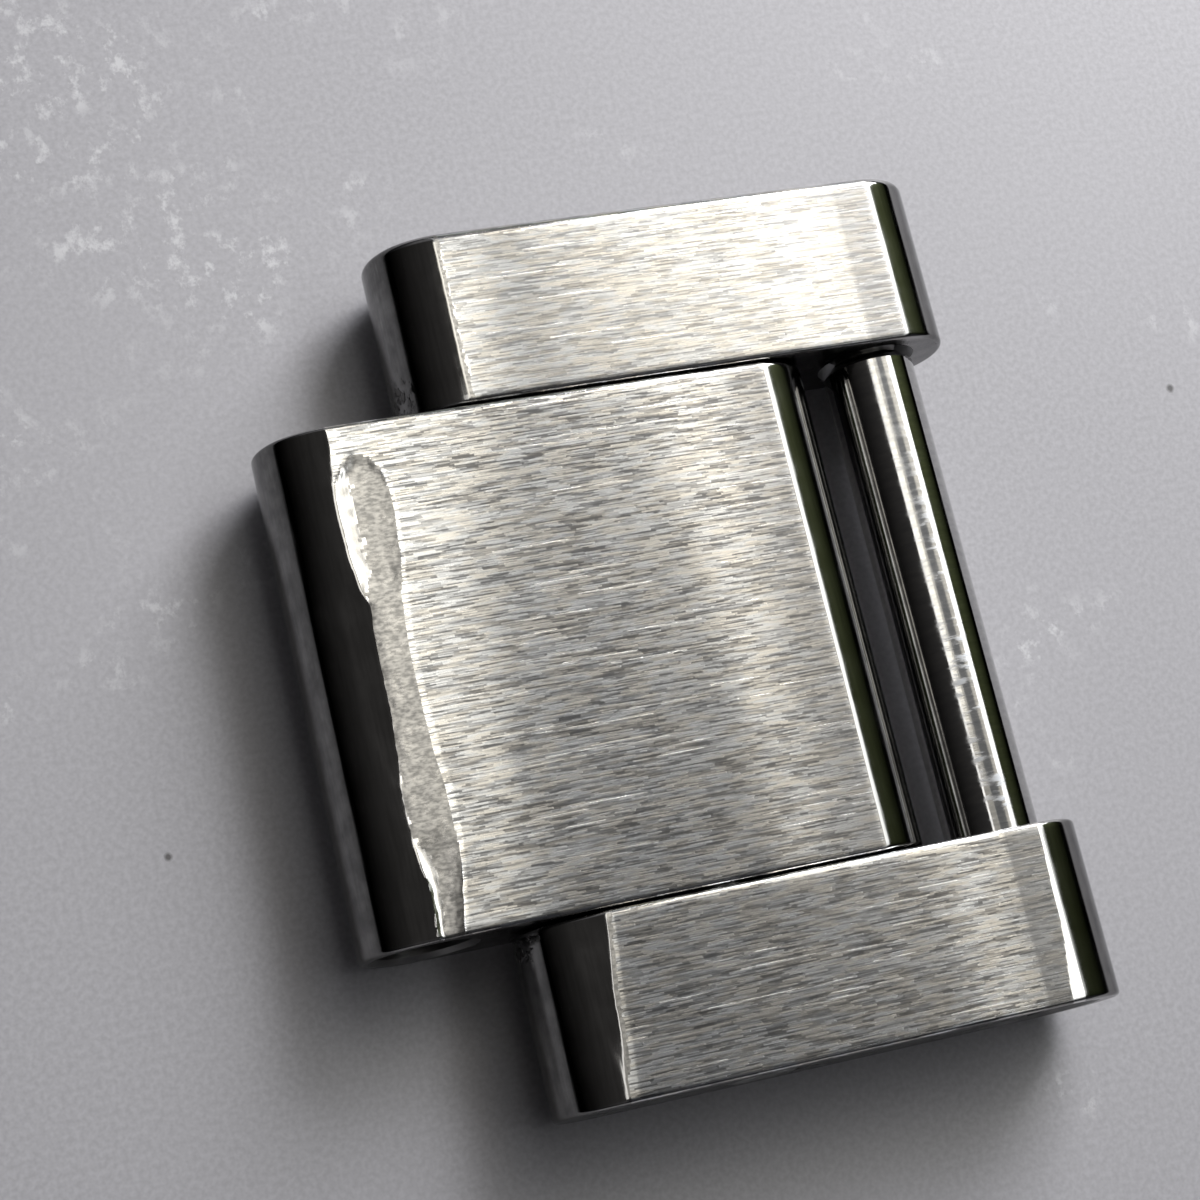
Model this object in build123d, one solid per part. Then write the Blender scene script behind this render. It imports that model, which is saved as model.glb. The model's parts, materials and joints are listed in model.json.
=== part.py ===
from build123d import *
import math
import os

# A three-bar watch bracelet link: a wide centre bar that turns on a pressed pin between two
# narrow outer bars, and a slotted screw across the fork that holds the neighbouring link.
# X runs along the bracelet, Y across it, Z is up, and the link lies on its underside at Z = 0.
# All sizes are in millimetres.

# The three bars
link_width = 17.0
centre_width = 9.9
side_play = 0.05
thickness = 2.7
outer_flat_length = 9.17
link_gap = 0.05

# Shape of a bar's ends and edges
corner_overhang = 0.20
face_fall = 0.02
face_fall_reach = 0.8
edge_break = 0.06

# Metal and room left round the screw
screw_cover = 0.395
head_cover = 0.26
head_end_wall = 0.525
bore_end_wall = 0.30
fork_room = 0.61

# Clearances
running_clearance = 0.03
head_clearance = 0.04
thread_clearance = 0.04
overrun = 0.5

# Link screw
head_height = 0.8
head_recess = 0.05
head_bevel = 0.1
slot_width = 0.3
slot_depth = 0.45
shank_chamfer = 0.2
thread_step = 0.225
thread_length = 2.6
thread_pitch = 0.35
thread_depth = 0.1
thread_end_bevel = 0.15
thread_run_out = 0.2

# Hinge pin
pin_radius = 0.75
pin_bevel = 0.1
pin_cover = 0.9
pin_end_gap = 0.1

# Mouths of the holes
mouth_bevel = 0.1
socket_mouth_margin = 0.075

# Hollow worn along the centre bar's free top edge
hollow_width = 0.9
hollow_depth = 0.07
hollow_bite = 0.04
hollow_far_margin = 0.6

# Places across the link
half_width = link_width / 2
centre_half = centre_width / 2
fork_half = centre_half + side_play

# End round of every bar, which passes through the corner of its flat face
mid_height = thickness / 2
corner_rise = mid_height - face_fall
end_radius = math.hypot(corner_rise, corner_overhang)
end_bulge = end_radius - corner_overhang

# Radii of the screw and of the holes that take it
screw_bore_radius = mid_height - screw_cover
shank_radius = screw_bore_radius - running_clearance
head_bore_radius = mid_height - head_cover
head_radius = head_bore_radius - head_clearance
thread_radius = shank_radius - thread_step
thread_bore_radius = thread_radius + thread_clearance
socket_mouth_radius = shank_radius + socket_mouth_margin
pin_bore_radius = pin_radius + running_clearance

# Places along the link, with the middle of its whole length at X = 0
outer_length = outer_flat_length + 2 * end_bulge
pitch = outer_length + link_gap
screw_to_end = head_bore_radius + head_end_wall
bore_to_end = screw_bore_radius + bore_end_wall
half_length = (screw_to_end + pitch + bore_to_end) / 2
outer_right = half_length - end_bulge
outer_left = outer_right - outer_flat_length
centre_left = end_bulge - half_length
screw_x = half_length - screw_to_end
bore_x = bore_to_end - half_length
pin_x = (screw_x + bore_x) / 2
centre_right = screw_x - shank_radius - fork_room - end_bulge

# Places along the screw and the pin
head_outer_y = head_recess - half_width
head_seat_y = head_outer_y + head_height
thread_end_y = fork_half + thread_length
thread_bottom_y = thread_end_y + thread_run_out
pin_end_y = half_width - pin_cover
pin_bottom_y = pin_end_y + pin_end_gap


def bar_section(left, right, y, inset):
    """The outline of a bar at one place across the link, drawn in by the inset all round."""
    shrink = (end_radius - inset) / end_radius
    centre_left_x = left + corner_overhang
    centre_right_x = right - corner_overhang
    corner_left = centre_left_x - corner_overhang * shrink
    corner_right = centre_right_x + corner_overhang * shrink
    rise = corner_rise * shrink
    flat = mid_height - inset
    reach = end_bulge - inset
    with BuildSketch(Plane.XZ.offset(-y)) as section:
        with BuildLine():
            Polyline(
                (corner_left, mid_height + rise),
                (left + face_fall_reach, mid_height + flat),
                (right - face_fall_reach, mid_height + flat),
                (corner_right, mid_height + rise),
            )
            ThreePointArc(
                (corner_right, mid_height + rise),
                (right + reach, mid_height),
                (corner_right, mid_height - rise),
            )
            Polyline(
                (corner_right, mid_height - rise),
                (right - face_fall_reach, mid_height - flat),
                (left + face_fall_reach, mid_height - flat),
                (corner_left, mid_height - rise),
            )
            ThreePointArc(
                (corner_left, mid_height - rise),
                (left - reach, mid_height),
                (corner_left, mid_height + rise),
            )
        make_face()
    return section.sketch


def bar(left, right, low_y, high_y):
    """A bar between two top corners and two side faces, with rounded ends and broken edges."""
    low = bar_section(left, right, low_y, edge_break)
    low_full = bar_section(left, right, low_y + edge_break, 0)
    high_full = bar_section(left, right, high_y - edge_break, 0)
    high = bar_section(left, right, high_y, edge_break)
    middle = extrude(high_full, amount=high_y - low_y - 2 * edge_break)
    return middle + loft([low, low_full], ruled=True) + loft([high_full, high], ruled=True)


def rod(x, low_y, high_y, low_radius, high_radius):
    """A round rod or taper along Y at mid height, between two places."""
    place = Pos(x, (low_y + high_y) / 2, mid_height) * Rot(-90, 0, 0)
    length = high_y - low_y
    if low_radius == high_radius:
        return place * Cylinder(low_radius, length)
    return place * Cone(low_radius, high_radius, length)


def mouth(x, face_y, into, radius, bevel):
    """The bevel round a hole's mouth in a side face; into is 1 where the hole runs towards +Y."""
    inner_y = face_y + into * bevel
    outer_y = face_y - into * bevel
    wide = radius + 2 * bevel
    if into > 0:
        return rod(x, outer_y, inner_y, wide, radius)
    return rod(x, inner_y, outer_y, radius, wide)


def through_hole(x, low_y, high_y, radius):
    """A hole from side face to side face with a bevel at each mouth."""
    hole = rod(x, low_y - overrun, high_y + overrun, radius, radius)
    hole += mouth(x, low_y, 1, radius, mouth_bevel)
    hole += mouth(x, high_y, -1, radius, mouth_bevel)
    return hole


def worn_hollow():
    """The shallow round-bottomed hollow beside the free top edge, open at the near side face."""
    half = hollow_width / 2
    radius = (half ** 2 + hollow_depth ** 2) / (2 * hollow_depth)
    x = centre_left - hollow_bite + half
    z = thickness - hollow_depth + radius
    far_y = centre_half - hollow_far_margin - half
    near_y = -centre_half - overrun
    middle = Pos(x, (near_y + far_y) / 2, z) * Rot(-90, 0, 0) * Cylinder(radius, far_y - near_y)
    return middle + Pos(x, far_y, z) * Sphere(radius)


def turned(x, outline):
    """A solid turned about the axis along Y at x, from its outline as places and radii."""
    points = [(x + radius, y) for y, radius in outline]
    plane = Plane.XY.offset(mid_height)
    face = plane * make_face(Polyline(*points, close=True))
    return revolve(face, Axis((x, 0, mid_height), (0, 1, 0)))


def centre_link():
    solid = bar(centre_left, centre_right, -centre_half, centre_half)
    solid -= through_hole(bore_x, -centre_half, centre_half, screw_bore_radius)
    solid -= through_hole(pin_x, -centre_half, centre_half, pin_bore_radius)
    return solid - worn_hollow()


def outer_link_far():
    socket_depth = socket_mouth_radius - thread_bore_radius
    solid = bar(outer_left, outer_right, fork_half, half_width)
    solid -= rod(screw_x, fork_half - overrun, thread_bottom_y, thread_bore_radius, thread_bore_radius)
    solid -= rod(
        screw_x,
        fork_half - socket_depth,
        fork_half + socket_depth,
        socket_mouth_radius + socket_depth,
        thread_bore_radius,
    )
    return solid - rod(pin_x, fork_half - overrun, pin_bottom_y, pin_radius, pin_radius)


def outer_link_near():
    solid = bar(outer_left, outer_right, -half_width, -fork_half)
    solid -= rod(screw_x, -half_width - overrun, -fork_half + overrun, screw_bore_radius, screw_bore_radius)
    solid -= mouth(screw_x, -fork_half, -1, screw_bore_radius, mouth_bevel)
    solid -= rod(screw_x, -half_width - overrun, head_seat_y, head_bore_radius, head_bore_radius)
    solid -= mouth(screw_x, -half_width, 1, head_bore_radius, mouth_bevel)
    return solid - rod(pin_x, -half_width - overrun, -fork_half + overrun, pin_radius, pin_radius)


def link_screw():
    root_radius = thread_radius - thread_depth
    ring_count = int(thread_length / thread_pitch)
    outline = [
        (head_outer_y, 0),
        (head_outer_y, head_radius - head_bevel),
        (head_outer_y + head_bevel, head_radius),
        (head_seat_y, head_radius),
        (head_seat_y, shank_radius),
        (fork_half - shank_chamfer, shank_radius),
        (fork_half, shank_radius - shank_chamfer),
        (fork_half, root_radius),
    ]
    for ring in range(ring_count):
        start = fork_half + ring * thread_pitch
        outline.append((start + thread_pitch / 2, thread_radius))
        outline.append((start + thread_pitch, root_radius))
    outline.append((thread_end_y, root_radius))
    outline.append((thread_end_y, root_radius - thread_end_bevel))
    outline.append((thread_end_y, 0))
    slot_middle_y = head_outer_y - overrun / 2 + slot_depth / 2
    slot = Pos(screw_x, slot_middle_y, mid_height) * Box(
        slot_width, slot_depth + overrun, 2 * head_radius + overrun
    )
    return turned(screw_x, outline) - slot


def hinge_pin():
    outline = [
        (-half_width, 0),
        (-half_width, pin_radius - pin_bevel),
        (-half_width + pin_bevel, pin_radius),
        (pin_end_y - pin_bevel, pin_radius),
        (pin_end_y, pin_radius - pin_bevel),
        (pin_end_y, 0),
    ]
    return turned(pin_x, outline)


os.makedirs("parts", exist_ok=True)
for make_piece in (centre_link, outer_link_far, outer_link_near, link_screw, hinge_pin):
    export_step(make_piece(), f"parts/{make_piece.__name__}.step")

# Sizes and places for the record
print("length", round(2 * half_length, 4), "width", link_width, "thickness", thickness)
print("pitch", round(pitch, 4), "end bulge", round(end_bulge, 4), "end radius", round(end_radius, 4))
print("screw x", round(screw_x, 4), "bore x", round(bore_x, 4), "pin x", round(pin_x, 4))
print("outer corners", round(outer_left, 4), round(outer_right, 4))
print("centre corners", round(centre_left, 4), round(centre_right, 4))
print("shank radius", round(shank_radius, 4), "screw bore radius", round(screw_bore_radius, 4))
print("head radius", round(head_radius, 4), "thread radius", round(thread_radius, 4))
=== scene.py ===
import json
import math

import bmesh
import bpy
from mathutils import Matrix, Vector, noise


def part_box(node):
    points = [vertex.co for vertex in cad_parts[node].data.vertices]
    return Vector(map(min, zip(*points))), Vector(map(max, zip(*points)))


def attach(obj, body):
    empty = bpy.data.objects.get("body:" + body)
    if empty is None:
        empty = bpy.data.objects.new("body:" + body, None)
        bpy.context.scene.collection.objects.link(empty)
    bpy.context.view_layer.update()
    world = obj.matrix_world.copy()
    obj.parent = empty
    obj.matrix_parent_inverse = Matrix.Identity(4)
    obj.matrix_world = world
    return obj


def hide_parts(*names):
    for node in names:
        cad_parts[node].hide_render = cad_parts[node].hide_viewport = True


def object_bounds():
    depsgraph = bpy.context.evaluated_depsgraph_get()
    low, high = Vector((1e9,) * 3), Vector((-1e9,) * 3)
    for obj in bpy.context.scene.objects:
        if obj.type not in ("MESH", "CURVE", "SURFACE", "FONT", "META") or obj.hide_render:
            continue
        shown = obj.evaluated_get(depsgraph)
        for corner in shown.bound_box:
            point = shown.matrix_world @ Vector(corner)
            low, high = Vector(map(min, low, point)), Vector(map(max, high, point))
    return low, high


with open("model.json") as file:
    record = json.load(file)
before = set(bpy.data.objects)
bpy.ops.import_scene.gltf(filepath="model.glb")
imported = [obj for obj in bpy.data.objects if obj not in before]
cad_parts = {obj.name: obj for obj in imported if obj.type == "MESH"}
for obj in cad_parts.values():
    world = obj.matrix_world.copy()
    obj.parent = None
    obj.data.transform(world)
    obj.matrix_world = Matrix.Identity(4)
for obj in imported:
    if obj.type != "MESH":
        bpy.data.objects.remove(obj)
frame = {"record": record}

# Lengths are in metres, as in the frame. Those below that are typed as millimetres are turned into metres.
mm = 0.001
cad_low, cad_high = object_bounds()

# Shape of a bar's ends and edges
corner_overhang = 0.20 * mm
corner_fall = 0.02 * mm
corner_blend = 0.12 * mm
left_blend = 0.26 * mm
blend_tilt = 1.2
edge_radius = 0.09 * mm
outside_radius = 0.17 * mm
crown_reach = 2.2 * mm
crown_start = 1.3 * mm
crown_tilt = math.radians(0.6)
hump_start = 2.8 * mm
hump_end = 0.6 * mm
hump_tilt = math.radians(1.5)
roll_tilt = math.radians(5)
roll_reach = 0.25 * mm
end_band = 0.8 * mm

# Holes, screw and pin
pin_radius = 0.75 * mm
pin_bevel = 0.1 * mm
pin_clearance = 0.03 * mm
pin_end_gap = 0.1 * mm
screw_clearance = 0.03 * mm
head_clearance = 0.04 * mm
thread_clearance = 0.04 * mm
socket_mouth_margin = 0.075 * mm
mouth_bevel = 0.1 * mm
head_height = 0.8 * mm
head_bevel = 0.1 * mm
bevel_shares = (0.3, 0.6)
head_radius = 1.05 * mm
slot_width = 0.3 * mm
slot_depth = 0.45 * mm
shank_radius = 0.925 * mm
shank_chamfer = 0.2 * mm
thread_radius = 0.70 * mm
thread_depth = 0.1 * mm
thread_pitch = 0.35 * mm
thread_run_out = 0.2 * mm
flank_rise = 2.6
root_share = 0.15
tip_bevel = 0.15 * mm

# Left top edge of each bar as wear has left it, as places across the link and along it in millimetres.
# On the centre bar the third number is the far rim of the hollow worn beside the edge.
centre_edge = [
    (-4.9, -5.90, -5.40),
    (-4.2, -5.87, -5.29),
    (-3.9, -5.87, -5.22),
    (-3.55, -5.93, -5.16),
    (-2.9, -6.00, -5.08),
    (-2.3, -6.00, -5.08),
    (-1.4, -5.92, -5.17),
    (-0.6, -5.87, -5.20),
    (0.4, -5.87, -5.20),
    (0.9, -5.86, -5.17),
    (1.3, -5.82, -5.13),
    (1.8, -5.93, -5.08),
    (2.4, -6.00, -5.00),
    (3.2, -6.03, -4.94),
    (3.8, -6.02, -4.95),
    (4.1, -5.98, -4.96),
    (4.6, -5.93, -4.98),
    (5.0, -5.95, -5.00),
]
far_edge = [(5.0, -3.065), (8.5, -3.06)]
near_edge = [(-8.5, -3.12), (-6.9, -2.98), (-5.0, -2.78)]

# How wide the near bar's right top corner is rubbed, as places across the link and widths in millimetres
rubbed_right = [(-8.5, 0.30), (-6.8, 0.13), (-5.0, 0.06)]

# Wear of the bars' top edges
edge_reach = math.radians(50)
worn_slope = math.radians(15)
worn_far = 0.15 * mm
right_slope = math.radians(4.5)
jag = 0.010 * mm
jag_size = 0.11 * mm
jag_fineness = 2.7
least_wear = 0.03 * mm
rubbed_width = 0.09 * mm
rubbed_jag = 0.6
rubbed_jag_size = (0.13 * mm, 0.1 * mm)
far_strip = 0.16 * mm
strip_jag = 0.5
strip_jag_size = 0.12 * mm

# Far end of the hollow, as places along the link and across it in millimetres
hollow_tip = [
    (-6.05, 3.65),
    (-5.9, 4.0),
    (-5.72, 4.22),
    (-5.5, 4.38),
    (-5.3, 4.34),
    (-5.1, 4.12),
    (-4.98, 3.8),
    (-4.9, 3.5),
]

# Hollow worn beside the centre bar's left edge. Its middle part slants down to the edge, between places
# across the link in millimetres, and its ends are dished, with a smooth wall by the edge.
hollow_depth = 0.050 * mm
hollow_rise = 0.32
hollow_bottom = 0.33
rim_power = 1.7
slanted_far = (2.0, 1.4)
slanted_near = (-3.5, -2.9)
slanted_depth = 0.8
smooth_wall = 0.30
wall_jag = 0.12
wall_jag_size = (0.15 * mm, 0.12 * mm)
worn_share = 0.10
dent_height = 0.005 * mm
dent_size = 0.20 * mm
dent_fineness = 2.1
dent_growth = 4
burr_height = 0.012 * mm
burr_spacing = 0.07 * mm
burr_width = 0.04 * mm

# Where in the noise each unevenness is read
edge_seed = 7.0
rubbed_seed = 9.0
wall_seed = 5.0
burr_seed = 3.0

# Table: its reach, and the middles of its scuffs and of two dark specks in millimetres
table_reach = 1.5
scuff_middle = (-10.5, 10.5, 0.0)
specks = [(12.85, 3.86, 0.0), (-10.03, -2.08, 0.0)]

# Fineness of the meshes
arc_steps = 44
corner_steps = 5
edge_steps = 6
hole_steps = 72
screw_steps = 120
pin_steps = 96
table_steps = 96
thread_rows = 12
row_step = 0.07 * mm
fine_step = 0.035 * mm
coarse_step = 0.2 * mm
rim_column = 0.95 * mm
still_column = 1.9 * mm
weld_distance = 1e-9
same_place = 1e-7
rounding = 1e-6
sharp_angle = math.radians(28)


def smooth_step(low, high, value):
    """Goes smoothly from 0 at low to 1 at high, which may be the smaller one."""
    share = min(1.0, max(0.0, (value - low) / (high - low)))
    return share * share * (3 - 2 * share)


def between(table, value, column):
    """Value of one column of a table, read smoothly between its rows."""
    if value <= table[0][0]:
        return table[0][column]
    for low, high in zip(table, table[1:]):
        if value <= high[0]:
            share = smooth_step(low[0], high[0], value)
            return low[column] + share * (high[column] - low[column])
    return table[-1][column]


def spread(low, high, step):
    """Evenly spaced places from low to high, no farther apart than the step but for rounding."""
    count = max(1, math.ceil((high - low) / step - rounding))
    return [low + (high - low) * index / count for index in range(count + 1)]


def uneven(place, finer):
    """Noise at a place, with noise of half its height on it that is finer by a factor."""
    return noise.noise(place) + 0.5 * noise.noise(finer * place)


# Materials. The scales of their noises are waves per metre along X, Y and Z.

# Shares of a steel's tone in its red, green and blue, for its dark and its light parts
satin_warm = (1.0, 0.965, 0.90)
satin_cool = (0.97, 0.985, 1.0)
polished_dark = (0.75, 0.74, 0.72)
polished_light = (1.0, 0.99, 0.97)
worn_dark = (0.55, 0.54, 0.52)
worn_light = (1.0, 0.975, 0.93)
turned_dark = (0.82, 0.82, 0.82)
turned_light = (1.0, 0.99, 0.97)

# Colours of single marks and bands, some of them painted light or shade
stroke_dark = (0.08, 0.08, 0.085, 1.0)
# Painted glint: the light colour of the scratches stands in for the light they catch
painted_scratch_glint = (0.97, 0.95, 0.92, 1.0)
# Painted shade in the band inside a bar's right corner
band_shade_grey = (0.14, 0.14, 0.14, 1.0)
# Painted shade, blotchy, on polished steel towards the bottom
painted_low_shade = (0.05, 0.05, 0.05, 1.0)
pit_dark = (0.06, 0.055, 0.05, 1.0)
screw_mark = (0.56, 0.58, 0.62, 1.0)

# Strokes of the brushed tops as row width and length, the weight of each in the grain, and their rows
wide_stroke = (0.034 * mm, 0.44 * mm)
thin_stroke = (0.022 * mm, 0.30 * mm)
scratch_stroke = (0.026 * mm, 1.5 * mm)
wide_weight = 0.38
thin_weight = 0.32
dash_weight = 0.20
broad_weight = 0.10
row_waver = 1.3
row_shift = 37.0

# Brushed tops: share of strokes that are scratches, how strong their painted glint is, gloss and its
# unevenness
scratch_share = (0.965, 0.975)
scratch_glint_strength = 0.55
satin_roughness = 0.165
satin_uneven = 0.006
satin_grain_uneven = 0.02
satin_dulling = 0.05
satin_anisotropy = 0.87

# Polished steel: unevenness of its gloss, strength of its blotchy painted shade and heights between which
# it fades in towards the bottom, and for its pits the share of their reach where they are full, their
# strength and their roughness
polished_uneven = (0.7, 1.4)
low_shade_strength = (0.52, 0.74)
low_shade_heights = (2.55 * mm, 2.30 * mm)
pit_full = 0.4
pit_strength = 0.6
pit_dulling = 0.25

# Worn steel: unevenness of its gloss
worn_uneven = 0.06

# Screw's worn marks: places along the link from its axis where they start and end, and across the link
mark_start = (-0.45 * mm, -0.25 * mm)
mark_end = (0.08 * mm, 0.20 * mm)
mark_across = (4.5 * mm, -1.0 * mm)
mark_dulling = 0.30
free_dulling = 0.05

# Table: its colours, roughness, the reach and strength of its scuffs, and the size of its specks
table_dark = (0.524, 0.517, 0.552, 1.0)
table_light = (0.623, 0.616, 0.654, 1.0)
table_cloud = (0.635, 0.627, 0.665, 1.0)
scuff_light = (0.90, 0.90, 0.93, 1.0)
speck_dark = (0.06, 0.055, 0.055, 1.0)
table_roughness = 0.45
scuff_reach = (4.0 * mm, 15.0 * mm)
scuff_gain = 0.13
scuff_strength = 0.8
speck_edge = (0.13 * mm, 0.19 * mm)
speck_jag = 0.16 * mm
speck_strength = 0.8


def new_material(name):
    """An empty node material and its tree."""
    material = bpy.data.materials.new(name)
    material.use_nodes = True
    material.node_tree.nodes.clear()
    return material, material.node_tree


def add(tree, kind, settings=None, **inputs):
    """A node with its settings, and its inputs set to values or linked to sockets.

    Underscores in an input's name stand for spaces, and i with a number is the input at that place.
    """
    made = tree.nodes.new(kind)
    for key, value in (settings or {}).items():
        setattr(made, key, value)
    for key, value in inputs.items():
        by_number = key[0] == "i" and key[1:].isdigit()
        socket = made.inputs[int(key[1:]) if by_number else key.replace("_", " ")]
        if isinstance(value, bpy.types.NodeSocket):
            tree.links.new(value, socket)
        else:
            socket.default_value = value
    return made


def object_place(tree):
    """Place on the piece, in metres."""
    return add(tree, "ShaderNodeTexCoord").outputs["Object"]


def split(tree, vector):
    """A vector's X, Y and Z."""
    return add(tree, "ShaderNodeSeparateXYZ", Vector=vector).outputs


def away_from(tree, place, middle):
    """How far a place is from a fixed point."""
    away = add(tree, "ShaderNodeVectorMath", {"operation": "DISTANCE"}, i0=place, i1=middle)
    return away.outputs["Value"]


def stretched_noise(tree, coordinates, scale, detail=2.0, roughness=0.5):
    """Noise whose grain is stretched by a different scale along each axis."""
    mapping = add(tree, "ShaderNodeMapping", Vector=coordinates, Scale=scale)
    made = add(
        tree,
        "ShaderNodeTexNoise",
        {"noise_dimensions": "3D"},
        Vector=mapping.outputs["Vector"],
        Scale=1.0,
        Detail=detail,
        Roughness=roughness,
    )
    return made.outputs["Fac"]


def remap(tree, value, low, high, to_low=0.0, to_high=1.0):
    """Value moved from one range to another and held inside it."""
    made = add(
        tree,
        "ShaderNodeMapRange",
        {"clamp": True},
        Value=value,
        From_Min=low,
        From_Max=high,
        To_Min=to_low,
        To_Max=to_high,
    )
    return made.outputs["Result"]


def math_node(tree, operation, first, second=0.0, third=0.0):
    """One arithmetic step."""
    made = add(tree, "ShaderNodeMath", {"operation": operation}, i0=first, i1=second, i2=third)
    return made.outputs[0]


def plus(tree, first, *others):
    """Sum of values."""
    for other in others:
        first = math_node(tree, "ADD", first, other)
    return first


def times(tree, first, *others):
    """Product of values."""
    for other in others:
        first = math_node(tree, "MULTIPLY", first, other)
    return first


def colour_mix(tree, factor, first, second):
    """Blend of two colours."""
    made = add(tree, "ShaderNodeMix", {"data_type": "RGBA"}, i0=factor, i6=first, i7=second)
    return made.outputs[2]


def toned(tone, shares):
    """Colour from a tone and the shares of it in red, green and blue."""
    return tuple(tone * share for share in shares) + (1.0,)


def bump(tree, height, strength, distance, normal=None):
    """Bump from a height between 0 and 1."""
    made = add(tree, "ShaderNodeBump", Height=height, Strength=strength, Distance=distance)
    if normal is not None:
        tree.links.new(normal, made.inputs["Normal"])
    return made.outputs["Normal"]


def steel(tree, colour, roughness, normal, anisotropy=0.0):
    """Metal shader and the material's output."""
    shader = add(
        tree,
        "ShaderNodeBsdfPrincipled",
        Base_Color=colour,
        Metallic=1.0,
        Roughness=roughness,
        Normal=normal,
        Anisotropic=anisotropy,
    )
    if anisotropy:
        tangent = add(tree, "ShaderNodeTangent", {"direction_type": "RADIAL", "axis": "X"})
        tree.links.new(tangent.outputs["Tangent"], shader.inputs["Tangent"])
    add(tree, "ShaderNodeOutputMaterial", Surface=shader.outputs["BSDF"])


def strokes(tree, place, row, length, seed):
    """Short straight brush strokes along X in rows: a random value for each, with slightly wavy rows."""
    parts = split(tree, place)
    waver = stretched_noise(tree, place, (260.0, 2600.0, 600.0), 1.0)
    across = math_node(tree, "MULTIPLY_ADD", parts["Y"], 1 / row, times(tree, waver, row_waver))
    row_number = math_node(tree, "FLOOR", across)
    start = add(tree, "ShaderNodeTexWhiteNoise", {"noise_dimensions": "1D"}, W=row_number)
    shift = times(tree, start.outputs["Value"], row_shift)
    along = math_node(tree, "MULTIPLY_ADD", parts["X"], 1 / length, shift)
    cell = add(tree, "ShaderNodeCombineXYZ", X=row_number, Y=math_node(tree, "FLOOR", along), Z=seed)
    made = add(
        tree,
        "ShaderNodeTexWhiteNoise",
        {"noise_dimensions": "3D"},
        Vector=cell.outputs["Vector"],
    )
    return made.outputs["Value"]


def satin_steel(name, tone, depth, band_x, band_soft, dullness):
    """Steel brushed along the bracelet, its strokes as dark as depth says, rougher from band_x rightward
    and darkened there by painted shade.
    """
    material, tree = new_material(name)
    place = object_place(tree)
    wide = strokes(tree, place, *wide_stroke, seed=1.0)
    thin = strokes(tree, place, *thin_stroke, seed=2.0)
    long_mark = strokes(tree, place, *scratch_stroke, seed=3.0)
    dashes = stretched_noise(tree, place, (1400.0, 17000.0, 3000.0), 2.0, 0.6)
    broad = stretched_noise(tree, place, (500.0, 4500.0, 900.0), 1.0)
    cloud = stretched_noise(tree, place, (900.0, 1400.0, 900.0))
    tint = stretched_noise(tree, place, (1700.0, 9000.0, 2000.0), 1.0)
    # Scratches: real marks in the bump, with a painted glint in their light colour
    scratches_and_glints = times(
        tree,
        remap(tree, long_mark, *scratch_share, 0.0, scratch_glint_strength),
        remap(tree, dashes, 0.4, 0.5, 0.2),
    )
    grain = plus(
        tree,
        times(tree, wide, wide_weight),
        times(tree, thin, thin_weight),
        remap(tree, dashes, 0.36, 0.60, 0.0, dash_weight),
        remap(tree, broad, 0.3, 0.7, 0.0, broad_weight),
    )
    warmth = remap(tree, tint, 0.4, 0.6)
    light = colour_mix(tree, warmth, toned(tone, satin_cool), toned(tone, satin_warm))
    dark = colour_mix(tree, depth, light, stroke_dark)
    colour = colour_mix(tree, remap(tree, grain, 0.25, 0.68), dark, light)
    colour = colour_mix(tree, scratches_and_glints, colour, painted_scratch_glint)
    # The band inside the right corner is rougher, and painted shade darkens its colour
    dull = remap(tree, split(tree, place)["X"], band_x - band_soft, band_x + band_soft)
    colour = colour_mix(tree, times(tree, dull, dullness), colour, band_shade_grey)
    rough = plus(
        tree,
        remap(tree, cloud, 0.3, 0.7, satin_roughness - satin_uneven, satin_roughness + satin_uneven),
        remap(tree, grain, 0.2, 0.8, satin_grain_uneven, -satin_grain_uneven),
        times(tree, dull, satin_dulling),
    )
    normal = bump(tree, cloud, 0.1, 0.004 * mm)
    normal = bump(tree, grain, 0.25, 0.003 * mm, normal)
    normal = bump(tree, scratches_and_glints, 0.25, 0.004 * mm, normal)
    steel(tree, colour, rough, normal, satin_anisotropy)
    return material


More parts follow.
